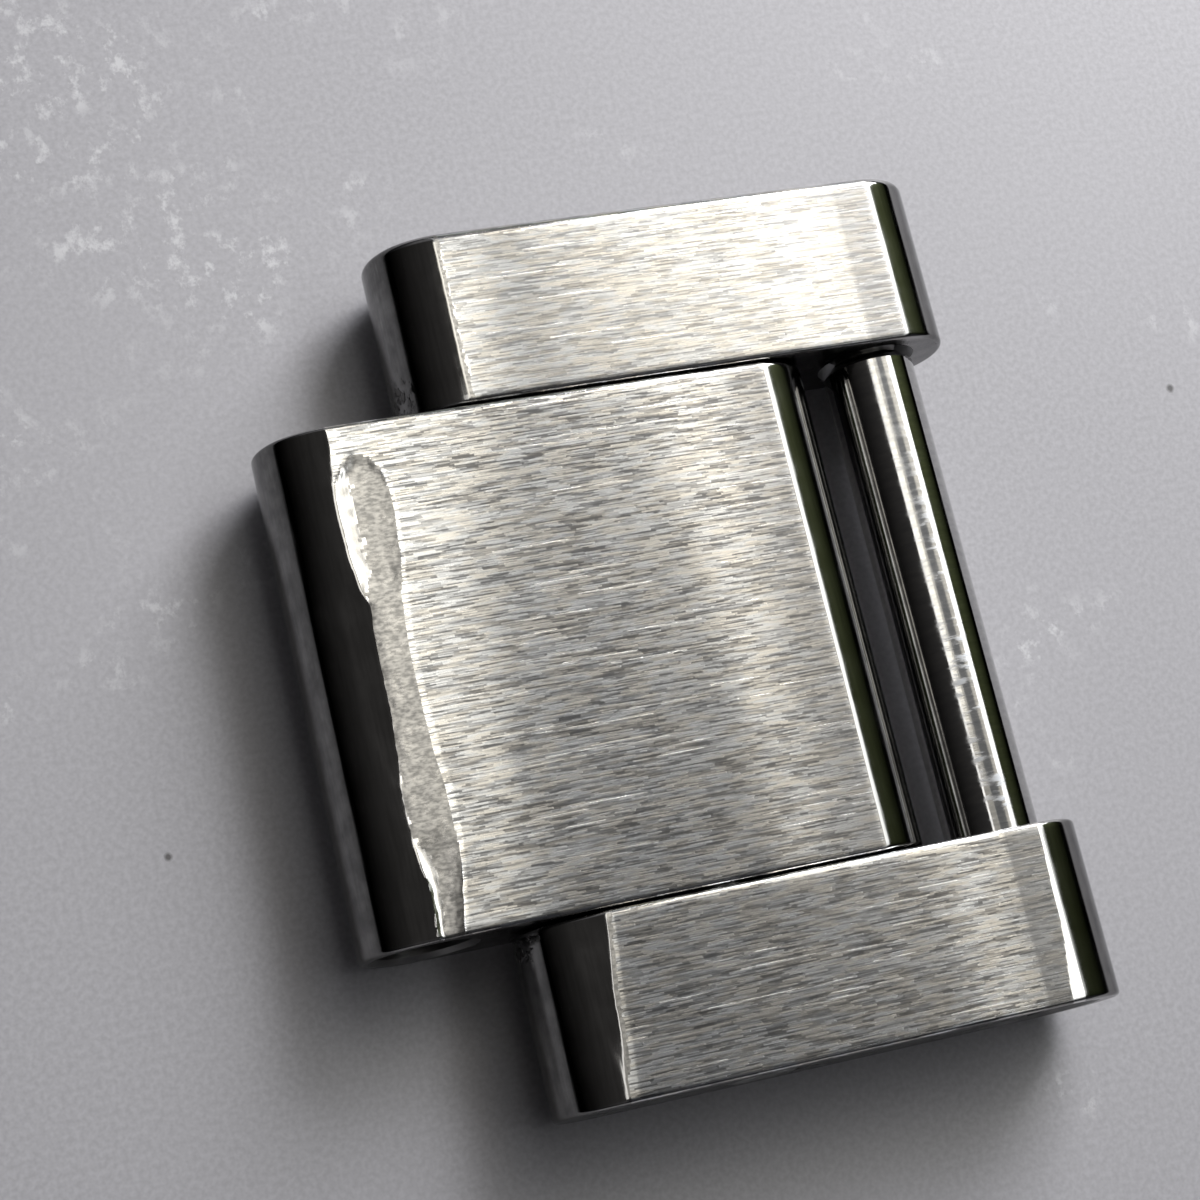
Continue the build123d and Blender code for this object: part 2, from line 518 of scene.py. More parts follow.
def polished_steel(name, tone, roughness, seed, pitted=()):
    """Mirror-polished steel with faint hairlines across the link, blotchy painted shade towards the bottom,
    and pits round given places.
    """
    material, tree = new_material(name)
    place = object_place(tree)
    moved = add(tree, "ShaderNodeMapping", Vector=place, Location=(seed * mm, seed * mm, 0.0))
    moved = moved.outputs["Vector"]
    hairline = stretched_noise(tree, moved, (16000.0, 900.0, 16000.0), 2.0, 0.6)
    soft = stretched_noise(tree, moved, (500.0, 350.0, 500.0), 1.0)
    smear = stretched_noise(tree, moved, (1500.0, 1200.0, 1500.0), 3.0, 0.6)
    blotch = stretched_noise(tree, moved, (2600.0, 2100.0, 2600.0), 3.0, 0.6)
    level = times(tree, smear, remap(tree, hairline, 0.3, 0.6, 0.5, 2.0))
    colour = colour_mix(tree, level, toned(tone, polished_dark), toned(tone, polished_light))
    # Painted shade: blotchy darkening of the polished steel towards the bottom
    low_shade = times(
        tree,
        remap(tree, blotch, 0.35, 0.65, *low_shade_strength),
        remap(tree, split(tree, place)["Z"], *low_shade_heights),
    )
    colour = colour_mix(tree, low_shade, colour, painted_low_shade)
    rough = remap(tree, smear, 0.3, 0.7, *(roughness * share for share in polished_uneven))
    normal = bump(tree, soft, 0.10, 0.010 * mm)
    normal = bump(tree, hairline, 0.28, 0.002 * mm, normal)
    for middle, reach in pitted:
        away = away_from(tree, place, middle)
        pits = stretched_noise(tree, moved, (5200.0, 4200.0, 5200.0), 3.0, 0.6)
        fade = remap(tree, away, pit_full * reach, reach, 1.0, 0.0)
        pits = times(tree, remap(tree, pits, 0.50, 0.60), fade)
        colour = colour_mix(tree, times(tree, pits, pit_strength), colour, pit_dark)
        rough = plus(tree, rough, times(tree, pits, pit_dulling))
        normal = bump(tree, pits, 1.0, 0.02 * mm, normal)
    steel(tree, colour, rough, normal)
    return material


def worn_steel(name, tone, roughness):
    """Steel worn by handling: hammered, with fine pits and short marks across the edge."""
    material, tree = new_material(name)
    place = object_place(tree)
    dents = stretched_noise(tree, place, (3500.0, 3500.0, 3500.0), 2.0, 0.55)
    fine = stretched_noise(tree, place, (7000.0, 15000.0, 9000.0), 2.0, 0.6)
    level = remap(tree, fine, 0.38, 0.62)
    colour = colour_mix(tree, level, toned(tone, worn_dark), toned(tone, worn_light))
    rough = remap(tree, dents, 0.3, 0.7, roughness - worn_uneven, roughness + worn_uneven)
    normal = bump(tree, dents, 0.4, 0.008 * mm)
    normal = bump(tree, fine, 0.4, 0.005 * mm, normal)
    steel(tree, colour, rough, normal)
    return material


def turned_steel(name, tone, roughness, ring_strength, wear_x=None):
    """Turned steel with fine rings round an axis along Y, and worn marks round wear_x where it is given."""
    material, tree = new_material(name)
    place = object_place(tree)
    rings = stretched_noise(tree, place, (120.0, 14000.0, 120.0), 2.0, 0.65)
    broken = stretched_noise(tree, place, (2600.0, 9000.0, 2600.0), 2.0, 0.6)
    patches = stretched_noise(tree, place, (900.0, 1500.0, 900.0), 2.0, 0.55)
    level = remap(tree, broken, 0.35, 0.65)
    colour = colour_mix(tree, level, toned(tone, turned_dark), toned(tone, turned_light))
    rough = plus(tree, remap(tree, patches, 0.35, 0.7, -0.02, 0.06), roughness)
    normal = bump(tree, rings, ring_strength, 0.003 * mm)
    normal = bump(tree, broken, 0.6 * ring_strength, 0.002 * mm, normal)
    if wear_x is not None:
        parts = split(tree, place)
        along = math_node(tree, "SUBTRACT", parts["X"], wear_x)
        free = times(tree, remap(tree, along, *mark_start), remap(tree, along, *mark_end, 1.0, 0.0))
        marks = stretched_noise(tree, place, (1700.0, 5200.0, 1700.0), 3.0, 0.65)
        marks = times(
            tree,
            free,
            remap(tree, marks, 0.50, 0.66),
            remap(tree, parts["Y"], *mark_across, 0.15),
        )
        colour = colour_mix(tree, marks, colour, screw_mark)
        rough = plus(tree, rough, times(tree, marks, mark_dulling), times(tree, free, free_dulling))
        normal = bump(tree, marks, 0.12, 0.008 * mm, normal)
    steel(tree, colour, rough, normal)
    return material


def table_top(name):
    """Pale lilac-grey table with a soft shine, faint speckle, a few pale scuffs and dark specks."""
    material, tree = new_material(name)
    place = object_place(tree)
    speckle = stretched_noise(tree, place, (9000.0, 9000.0, 9000.0), 1.0, 0.6)
    cloud = stretched_noise(tree, place, (90.0, 90.0, 90.0))
    area = stretched_noise(tree, place, (170.0, 260.0, 170.0), 3.0, 0.6)
    flecks = stretched_noise(tree, place, (2200.0, 1700.0, 2200.0), 4.0, 0.7)
    near = remap(tree, away_from(tree, place, Vector(scuff_middle) * mm), *scuff_reach, 1.0, 0.0)
    area = plus(tree, area, times(tree, near, scuff_gain))
    scuff = times(tree, remap(tree, area, 0.60, 0.72), remap(tree, flecks, 0.53, 0.64))
    colour = colour_mix(tree, remap(tree, speckle, 0.3, 0.7), table_dark, table_light)
    colour = colour_mix(tree, remap(tree, cloud, 0.4, 0.7, 0.0, 0.25), colour, table_cloud)
    colour = colour_mix(tree, times(tree, scuff, scuff_strength), colour, scuff_light)
    for speck in specks:
        away = away_from(tree, place, Vector(speck) * mm)
        away = plus(tree, away, times(tree, flecks, speck_jag))
        inside = remap(tree, away, *speck_edge, speck_strength, 0.0)
        colour = colour_mix(tree, inside, colour, speck_dark)
    shader = add(
        tree,
        "ShaderNodeBsdfPrincipled",
        Base_Color=colour,
        Roughness=table_roughness,
        Normal=bump(tree, speckle, 0.08, 0.01 * mm),
    )
    add(tree, "ShaderNodeOutputMaterial", Surface=shader.outputs["BSDF"])
    return material


# Meshes

def finish_mesh(name, work, materials, body, node):
    """Object from a bmesh, riding its body in place of its CAD node."""
    bmesh.ops.remove_doubles(work, verts=work.verts[:], dist=weld_distance)
    bmesh.ops.recalc_face_normals(work, faces=work.faces[:])
    mesh = bpy.data.meshes.new(name)
    work.to_mesh(mesh)
    work.free()
    for material in materials:
        mesh.materials.append(material)
    mesh.set_sharp_from_angle(angle=sharp_angle)
    made = bpy.data.objects.new(name, mesh)
    bpy.context.scene.collection.objects.link(made)
    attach(made, body)
    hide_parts(node)
    return made


def ring_of_points(work, points):
    """Vertices at the points of a closed loop."""
    return [work.verts.new(point) for point in points]


def join_rings(work, first, second, material):
    """Quads between two closed rings of as many vertices; the material is a number or one for each side."""
    count = len(first)
    for index in range(count):
        after = (index + 1) % count
        face = work.faces.new((first[index], first[after], second[after], second[index]))
        face.smooth = True
        face.material_index = material if isinstance(material, int) else material[index]


def ring_edges(work, ring):
    """Edges that join a ring's vertices in turn."""
    edges = []
    for index, vertex in enumerate(ring):
        pair = (vertex, ring[(index + 1) % len(ring)])
        edges.append(work.edges.get(pair) or work.edges.new(pair))
    return edges


def hole_ring(work, x, y, z, radius):
    """Circle round an axis along Y."""
    points = []
    for index in range(hole_steps):
        turn = 2 * math.pi * index / hole_steps
        points.append((x + radius * math.cos(turn), y, z + radius * math.sin(turn)))
    return ring_of_points(work, points)


def fill_cap(work, rings, material):
    """Flat face between an outer ring and the rings of the holes in it."""
    edges = [edge for ring in rings for edge in ring_edges(work, ring)]
    filled = bmesh.ops.triangle_fill(work, use_beauty=True, use_dissolve=False, edges=edges)
    for face in filled["geom"]:
        if isinstance(face, bmesh.types.BMFace):
            face.smooth = False
            face.material_index = material


# Parts of a bar's surface, in the order of its materials
satin, polished, side, bored, worn, rubbed = range(6)


def crown(reach, rightward):
    """How far the top face lies under its middle and how it leans, at a distance from its end corner."""
    if rightward:
        width = hump_start - hump_end
        share = min(1.0, max(0.0, (hump_start - reach) / width))
        lean = hump_tilt * math.sin(math.pi * share) ** 2
        return hump_tilt * width * (share / 2 - math.sin(2 * math.pi * share) / (4 * math.pi)), lean
    if reach >= crown_reach:
        return 0.0, 0.0
    steep = max(0.0, crown_start - reach)
    gentle = crown_reach - max(reach, crown_start)
    drop = crown_tilt * (steep + gentle ** 2 / (2 * (crown_reach - crown_start)))
    return drop, crown_tilt * smooth_step(crown_reach, crown_start, reach)


def end_arc(mid_height):
    """Radius of a bar's end round and the angle from upright at which it starts."""
    rise = mid_height - corner_fall
    return math.hypot(rise, corner_overhang), math.atan2(corner_overhang, rise)


def top_face(reach, start, rightward):
    """The drop and the lean of the crown with the rounding over into the end."""
    drop, lean = crown(reach, rightward)
    blend = corner_blend if rightward else left_blend
    round_over = max(0.0, blend - reach) / blend
    extra = (start - crown(0.0, rightward)[1]) / 2
    return drop + extra * blend * round_over ** 2 / 2, lean + extra * round_over


def upper_half(left, right, mid_height, x_places):
    """Points, outward tilts and zones from the left end's middle over the top to the right end's middle."""
    radius, start = end_arc(mid_height)
    points = []
    lowered = top_face(0.0, start, False)[0] - corner_fall
    for index in range(arc_steps + 1):
        tilt = math.pi / 2 + (start - math.pi / 2) * index / arc_steps
        points.append((
            left + corner_overhang - radius * math.sin(tilt),
            mid_height + radius * math.cos(tilt) - lowered * smooth_step(blend_tilt, start, tilt),
            -tilt,
            polished,
        ))
    for x in x_places:
        rightward = right - x < x - left
        drop, tilt = top_face(right - x if rightward else x - left, start, rightward)
        points.append((x, 2 * mid_height - drop, tilt if rightward else -tilt, satin))
    lowered = top_face(0.0, start, True)[0] - corner_fall
    for index in range(arc_steps + 1):
        tilt = start + (math.pi / 2 - start) * index / arc_steps
        points.append((
            right - corner_overhang + radius * math.sin(tilt),
            mid_height + radius * math.cos(tilt) - lowered * smooth_step(blend_tilt, start, tilt),
            tilt,
            polished,
        ))
    return points


def edge_rows(low_y, high_y, far_radius):
    """Places across a bar and how far its outline is drawn in there by the rounded edges."""
    near = []
    far = []
    for index in range(edge_steps + 1):
        turn = math.pi / 2 * index / edge_steps
        near.append((low_y + edge_radius * (1 - math.cos(turn)), edge_radius * (1 - math.sin(turn))))
        far.insert(0, (high_y - far_radius * (1 - math.cos(turn)), far_radius * (1 - math.sin(turn))))
    inner = [(y, 0.0) for y in spread(low_y + edge_radius, high_y - far_radius, row_step)[1:-1]]
    return near + inner + far


def worn_edge(table, y, column=1):
    """Place along the link of a worn edge, slightly jagged."""
    place = Vector((y / jag_size, edge_seed * column + table[0][1], 0.0))
    return between(table, y / mm, column) * mm + jag * uneven(place, jag_fineness) / column ** 2


def hollow_sides(y):
    """Places along the link of the centre bar's worn edge and of the hollow's far rim."""
    return between(centre_edge, y / mm, 1) * mm, between(centre_edge, y / mm, 2) * mm


def slant(y):
    """1 where the hollow slants down to the edge and 0 where it is dished."""
    return smooth_step(*slanted_far, y / mm) * smooth_step(*slanted_near, y / mm)


def dish(across):
    """Depth across the hollow: a steep wall by the edge and a long rise to the rim."""
    if across < hollow_bottom:
        return 1 - ((hollow_bottom - across) / hollow_bottom) ** 2
    return 1 - ((across - hollow_bottom) / (1 - hollow_bottom)) ** rim_power


def hollow_share(x, y):
    """How deep the worn hollow is at a place on the centre bar, as a share of its full depth."""
    edge, rim = hollow_sides(y)
    across = max(0.0, (x - edge) / (rim - edge))
    if across >= 1:
        return 0.0
    ending = smooth_step(0.0, hollow_rise, between(hollow_tip, x / mm, 1) - y / mm)
    dished = dish(across)
    slanted = slanted_depth * (1 - across)
    return ending * (dished + slant(y) * (slanted - dished))


def hollow_floor(x, y):
    """Whether a place in the hollow is past the smooth wall by the edge."""
    edge, rim = hollow_sides(y)
    wall_x, wall_y = wall_jag_size
    jagged = wall_jag * noise.noise(Vector((x / wall_x, y / wall_y, wall_seed)))
    return (x - edge) / (rim - edge) > smooth_wall * (1 - slant(y)) + jagged


def centre_wear(x, y):
    """How far wear has lowered the centre bar's top, with dents in the hollow and a burr along its edge."""
    share = hollow_share(x, y)
    if share <= 0:
        return 0.0
    dents = dent_height * uneven(Vector((x / dent_size, y / dent_size, 0.0)), dent_fineness)
    edge = hollow_sides(y)[0]
    height = max(0.0, noise.noise(Vector((y / burr_spacing, burr_seed, 0.0))))
    burr = height * math.exp(-((x - edge) / burr_width) ** 2)
    return share * hollow_depth + min(1.0, dent_growth * share) * dents - burr_height * burr


def on_worn_edge(table, left, place):
    """Whether a place lies on the narrow rubbed strip along an edge that wear has moved."""
    edge = worn_edge(table, place.y)
    size_y, size_x = rubbed_jag_size
    jagged = rubbed_jag * noise.noise(Vector((place.y / size_y, place.x / size_x, rubbed_seed)))
    return edge - left > least_wear and place.x < edge + rubbed_width * (1 + jagged)


def in_left_strip(width, left, place):
    """Whether a place lies on the jagged rubbed strip along the left top corner."""
    return place.x < left + width * (1 + strip_jag * noise.noise(place / strip_jag_size))


def in_right_strip(table, right, place):
    """Whether a place lies on the rubbed strip along the right top corner."""
    return place.x > right - between(table, place.y / mm, 1) * mm


def columns(left, right):
    """Places along a bar's top face, closer together near its ends."""
    corner = [corner_blend * index / corner_steps for index in range(1, corner_steps)]
    places = [left + reach for reach in corner]
    places += spread(left + corner_blend, left + rim_column, fine_step)
    places += spread(left + rim_column, left + still_column, 2 * fine_step)[1:]
    places += spread(left + still_column, right - end_band, coarse_step)[1:]
    places += spread(right - end_band, right - corner_blend, fine_step)[1:]
    return places + [right - reach for reach in reversed(corner)]


def bar(
    name, body, materials, holes, table,
    lowered=None, far_radius=edge_radius, left_strip=0.0, right_table=None,
):
    """A bar with rounded ends, worn and broken edges and holes along Y, in place of its CAD node."""
    low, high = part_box(name)
    mid_height = (high.z - low.z) / 2
    radius, start = end_arc(mid_height)
    bulge = radius - corner_overhang
    left = low.x + bulge
    right = high.x - bulge
    upper = upper_half(left, right, mid_height, columns(left, right))
    lower = [(x, 2 * mid_height - z, math.pi - tilt, zone) for x, z, tilt, zone in reversed(upper[1:-1])]
    outline = upper + lower

    def moved_by_wear(x, y, z, tilt, zone):
        """Where wear at the left end has moved a point of the outline."""
        if math.cos(tilt) <= 0 or x >= left + still_column:
            return x, z
        edge = worn_edge(table, y)
        if zone == polished:
            share = smooth_step(edge_reach, start, -tilt)
            drop = lowered(edge, y) * share if lowered else 0.0
            moved = x + (edge - left) * share
            onward = min(1.0, (left + corner_overhang - moved) / radius)
            round_z = z if moved > left else mid_height + radius * math.sqrt(1 - onward ** 2)
            slope = start + (worn_slope - start) * min(1.0, max(0.0, edge - left) / worn_far)
            slope_z = upper[arc_steps][1] - (edge - moved) * math.tan(slope)
            return moved, min(z, round_z, slope_z) - drop
        rim = worn_edge(table, y, 2) if lowered else left + rim_column
        if x <= left + rim_column:
            moved = edge + (x - left) / rim_column * (rim - edge)
        else:
            onward = (x - left - rim_column) / (still_column - rim_column)
            moved = rim + onward * (left + still_column - rim)
        return moved, z - (lowered(moved, y) if lowered else 0.0)

    def right_wear(x, y, tilt):
        """How far the rubbed right corner is lowered at a point of the outline."""
        if not right_table or x <= right - still_column or math.cos(tilt) <= 0:
            return 0.0
        strip = between(right_table, y / mm, 1) * mm
        reach = min(strip, max(0.0, x - right + strip))
        return math.tan(right_slope) * reach * smooth_step(blend_tilt, start, tilt)

    def top_kind(middle):
        """Material of a face between the end corners, by the wear at its middle."""
        if middle.z <= mid_height:
            return satin
        if not lowered and on_worn_edge(table, left, middle):
            return worn
        if in_left_strip(left_strip, left, middle):
            return rubbed
        if right_table and in_right_strip(right_table, right, middle):
            return rubbed
        if lowered and hollow_share(middle.x, middle.y) > worn_share:
            return worn if hollow_floor(middle.x, middle.y) else rubbed
        return satin

    work = bmesh.new()
    rings = []
    for y, inset in edge_rows(low.y, high.y, far_radius):
        rolled = roll_tilt * roll_reach / 2 * max(0.0, 1 - (high.y - y) / roll_reach) ** 2
        points = []
        for x, z, tilt, zone in outline:
            x, z = moved_by_wear(x, y, z, tilt, zone)
            z -= rolled * max(0.0, math.cos(tilt))
            z -= right_wear(x, y, tilt)
            points.append((x - inset * math.sin(tilt), y, z - inset * math.cos(tilt)))
        rings.append(ring_of_points(work, points))
    zones = [zone for x, z, tilt, zone in outline]
    for first, second in zip(rings, rings[1:]):
        kinds = []
        for index, vertex in enumerate(first):
            following = (index + 1) % len(first)
            if zones[index] != satin or zones[following] != satin:
                kinds.append(polished)
            else:
                kinds.append(top_kind((vertex.co + second[following].co) / 2))
        join_rings(work, first, second, kinds)
    low_cap = [rings[0]]
    high_cap = [rings[-1]]
    for x, places in holes:
        tube = [hole_ring(work, x, y, mid_height, size) for y, size in places]
        for first, second in zip(tube, tube[1:]):
            join_rings(work, first, second, bored)
        for ring, y in ((tube[0], places[0][0]), (tube[-1], places[-1][0])):
            if abs(y - low.y) < same_place:
                low_cap.append(ring)
            elif abs(y - high.y) < same_place:
                high_cap.append(ring)
            else:
                face = work.faces.new(ring)
                face.material_index = bored
    fill_cap(work, low_cap, side)
    fill_cap(work, high_cap, side)
    finish_mesh(name + "_shape", work, materials, body, name)


def turned_mesh(x, z, outline, steps, radius_at=None):
    """Work mesh of a piece turned about an axis along Y, from places and radii."""
    work = bmesh.new()
    rings = []
    for y, size in outline:
        points = []
        for index in range(steps):
            turn = 2 * math.pi * index / steps
            radius = radius_at(y, turn, size) if radius_at else size
            points.append((x + radius * math.cos(turn), y, z + radius * math.sin(turn)))
        rings.append(ring_of_points(work, points))
    for first, second in zip(rings, rings[1:]):
        join_rings(work, first, second, 0)
    for ring in (rings[0], rings[-1]):
        face = work.faces.new(ring)
        face.smooth = False
    return work


# Places read from the frame
bore_mount = next(mount for mount in frame["record"]["mounts"] if mount["name"] == "neighbour_bore")
centre_low, centre_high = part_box("centre_link")
far_low, far_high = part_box("outer_link_far")
near_low, near_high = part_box("outer_link_near")
screw_low, screw_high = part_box("link_screw")
pin_low, pin_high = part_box("hinge_pin")
mid_height = (cad_high.z - cad_low.z) / 2
screw_x = (screw_low.x + screw_high.x) / 2
pin_x = (pin_low.x + pin_high.x) / 2
bore_x = bore_mount["pos_m"][0]
bore_radius = bore_mount["dims"]["r_mm"] * mm


def through(low_y, high_y, radius):
    """Places and radii of a hole from side to side with a bevel at each mouth."""
    return [
        (low_y, radius + mouth_bevel),
        (low_y + mouth_bevel, radius),
        (high_y - mouth_bevel, radius),
        (high_y, radius + mouth_bevel),
    ]


# Pitted places on the bars' ends, as middles and reaches
pitted_places = [
    (Vector((-4.24, 5.5, 1.5)) * mm, 0.75 * mm),
    (Vector((-4.25, -5.25, 1.4)) * mm, 0.7 * mm),
    (Vector((-5.5, -4.7, 2.5)) * mm, 0.5 * mm),
]
polished_end = polished_steel("polished_end", tone=0.43, roughness=0.09, seed=2.0, pitted=pitted_places)
# The side faces get a darker tone than the polished ends: painted shade
shaded_side_face = polished_steel("shaded_side_face", tone=0.34, roughness=0.22, seed=3.0)
bored_hole = turned_steel("bored_hole", tone=0.32, roughness=0.32, ring_strength=0.4)
worn_hollow = worn_steel("worn_hollow", tone=0.47, roughness=0.30)
rubbed_wall = polished_steel("rubbed_wall", tone=0.95, roughness=0.16, seed=4.0)
screw_steel = turned_steel("turned_screw", tone=0.60, roughness=0.05, ring_strength=0.35, wear_x=screw_x)
pin_steel = turned_steel("turned_pin", tone=0.66, roughness=0.20, ring_strength=0.3)


def bar_steels(name, high, band_width, **looks):
    """Materials of a bar in the order of its zones, with a rougher band inside its right corner that
    painted shade darkens.
    """
    bulge = end_arc(mid_height)[0] - corner_overhang
    top = satin_steel(name, band_x=high.x - bulge - band_width, **looks)
    return [top, polished_end, shaded_side_face, bored_hole, worn_hollow, rubbed_wall]


centre_steels = bar_steels(
    "satin_centre", centre_high, 0.7 * mm, tone=0.92, depth=0.85, band_soft=0.5 * mm, dullness=0.5,
)
far_steels = bar_steels(
    "satin_far", far_high, end_band, tone=0.82, depth=0.62, band_soft=0.07 * mm, dullness=0.5,
)
near_steels = bar_steels(
    "satin_near", near_high, end_band, tone=0.92, depth=0.86, band_soft=0.04 * mm, dullness=0.6,
)

head_seat_y = screw_low.y + head_height
head_bore = head_radius + head_clearance
shank_bore = shank_radius + screw_clearance
thread_end_y = screw_high.y
thread_bore = thread_radius + thread_clearance
socket_mouth = shank_radius + socket_mouth_margin

bar(
    "centre_link",
    "centre",
    centre_steels,
    [
        (bore_x, through(centre_low.y, centre_high.y, bore_radius)),
        (pin_x, through(centre_low.y, centre_high.y, pin_radius + pin_clearance)),
    ],
    centre_edge,
    centre_wear,
)
bar(
    "outer_link_far",
    "outer_links",
    far_steels,
    [
        (screw_x, [
            (far_low.y, socket_mouth),
            (far_low.y + socket_mouth - thread_bore, thread_bore),
            (thread_end_y + thread_run_out, thread_bore),
        ]),
        (pin_x, [(far_low.y, pin_radius), (pin_high.y + pin_end_gap, pin_radius)]),
    ],
    far_edge,
    far_radius=outside_radius,
    left_strip=far_strip,
)
bar(
    "outer_link_near",
    "outer_links",
    near_steels,
    [
        (screw_x, [
            (near_low.y, head_bore + mouth_bevel),
            (near_low.y + mouth_bevel, head_bore),
            (head_seat_y, head_bore),
            (head_seat_y, shank_bore),
            (near_high.y - mouth_bevel, shank_bore),
            (near_high.y, shank_bore + mouth_bevel),
        ]),
        (pin_x, [(near_low.y, pin_radius), (near_high.y, pin_radius)]),
    ],
    near_edge,
    right_table=rubbed_right,
)


def screw_radius(y, turn, size):
    """Radius of the screw: its plain size, or the thread's helix where the size is 0."""
    if size > 0:
        return size
    phase = ((y - far_low.y) / thread_pitch - turn / (2 * math.pi)) % 1.0
    flank = min(1.0, max(0.0, flank_rise * min(phase, 1 - phase) - root_share))
    start = smooth_step(0.0, thread_pitch, y - far_low.y)
    radius = thread_radius - thread_depth * (1 - flank * start)
    return min(radius, thread_radius - thread_depth - tip_bevel + (thread_end_y - y))


def link_screw():
    """The screw: slotted head, shank and threaded tip."""
    outline = [(screw_low.y, head_radius - head_bevel)]
    for share in bevel_shares:
        outline.append((screw_low.y + head_bevel * share, head_radius - head_bevel * (1 - share) ** 2))
    outline += [
        (screw_low.y + head_bevel, head_radius),
        (head_seat_y, head_radius),
        (head_seat_y, shank_radius),
        (far_low.y - shank_chamfer, shank_radius),
        (far_low.y, shank_radius - shank_chamfer),
    ]
    outline += [(y, 0.0) for y in spread(far_low.y, thread_end_y, thread_pitch / thread_rows)]
    work = turned_mesh(screw_x, mid_height, outline, screw_steps, screw_radius)
    made = finish_mesh("link_screw_shape", work, [screw_steel], "screw", "link_screw")
    slot = bmesh.new()
    middle = Vector((screw_x, screw_low.y, mid_height))
    size = (slot_width, 2 * slot_depth, 3 * head_radius)
    bmesh.ops.create_cube(slot, size=1.0, matrix=Matrix.LocRotScale(middle, None, size))
    mesh = bpy.data.meshes.new("slot_cutter")
    slot.to_mesh(mesh)
    slot.free()
    mesh.materials.append(screw_steel)
    cutter = bpy.data.objects.new("slot_cutter", mesh)
    bpy.context.scene.collection.objects.link(cutter)
    cut = made.modifiers.new("slot", "BOOLEAN")
    cut.operation = "DIFFERENCE"
    cut.object = cutter
    ready = made.evaluated_get(bpy.context.evaluated_depsgraph_get())
    shaped = bpy.data.meshes.new_from_object(ready)
    made.modifiers.clear()
    made.data = shaped
    shaped.set_sharp_from_angle(angle=sharp_angle)
    bpy.data.objects.remove(cutter)
    bpy.data.meshes.remove(mesh)


def hinge_pin():
    """The smooth pin with a bevel at each end."""
    outline = [
        (pin_low.y, pin_radius - pin_bevel),
        (pin_low.y + pin_bevel, pin_radius),
        (pin_high.y - pin_bevel, pin_radius),
        (pin_high.y, pin_radius - pin_bevel),
    ]
    work = turned_mesh(pin_x, mid_height, outline, pin_steps)
    finish_mesh("hinge_pin_shape", work, [pin_steel], "outer_links", "hinge_pin")


def floor():
    """Pale table under the link."""
    work = bmesh.new()
    bmesh.ops.create_circle(work, cap_ends=True, radius=table_reach, segments=table_steps)
    mesh = bpy.data.meshes.new("table")
    work.to_mesh(mesh)
    work.free()
    mesh.materials.append(table_top("table_top"))
    made = bpy.data.objects.new("table", mesh)
    bpy.context.scene.collection.objects.link(made)


link_screw()
hinge_pin()
floor()


# Light

# Ranges of the world light as start, end and softness, in turns: degrees about the axis across the link,
# from overhead to the right
panel_edge = 25.2
panel_start = (panel_edge, 90.0, 1.6)
panel_end = (-90.0, 36.0, 3.0)
core_range = (30.0, 42.0, 1.5)
gap_start = (0.0, 90.0, 2.0)
gap_end = (-90.0, panel_edge, 2.0)
left_range = (-75.0, -2.0, 3.0)
green_range = (40.0, 80.0, 3.0)
window_range = (-40.0, 65.0, 10.0)

# The same as places across the link and as heights, as shares of the sphere's radius
band_across = (-0.55, 0.55, 0.08)
window_across = (0.62, 0.93, 0.06)
room_across = (-0.45, 0.60, 0.12)
horizon_height = (-0.5, 0.02, 0.02)

# How much the panel's edges turn across the link, in degrees
panel_slant = 21.0
panel_lean = 12.0

# Brightness in the middle and how steeply it grows towards the far side, up to a place across the link
panel_growth = (0.40, 4.3)
core_growth = (1.8, 2.5)
gap_growth = (0.115, 3.9)
room_growth = (0.80, 1.3)
green_growth = (0.45, 4.6)
growth_end = 0.45

# Brightness that changes evenly from one turn to another, as the two turns and the two values
left_fade = (-75.0, -2.0, 0.003, 0.055)
room_fade = (-60.0, 60.0, 0.02, 0.10)
green_fade = (57.0, 80.0, 1.0, 0.12)

# Brightness that is the same all over
window_brightness = 0.07
horizon_brightness = 0.13

# Tints of the world light's parts
panel_tint = (1.0, 0.955, 0.86)
core_tint = (0.98, 1.0, 1.0)
window_tint = (1.0, 0.99, 0.97)
gap_tint = (0.98, 0.99, 1.0)
left_tint = (1.0, 0.96, 0.94)
room_tint = (0.93, 0.94, 1.10)
horizon_tint = (0.98, 0.96, 1.02)
green_tint = (0.055, 0.065, 0.030)


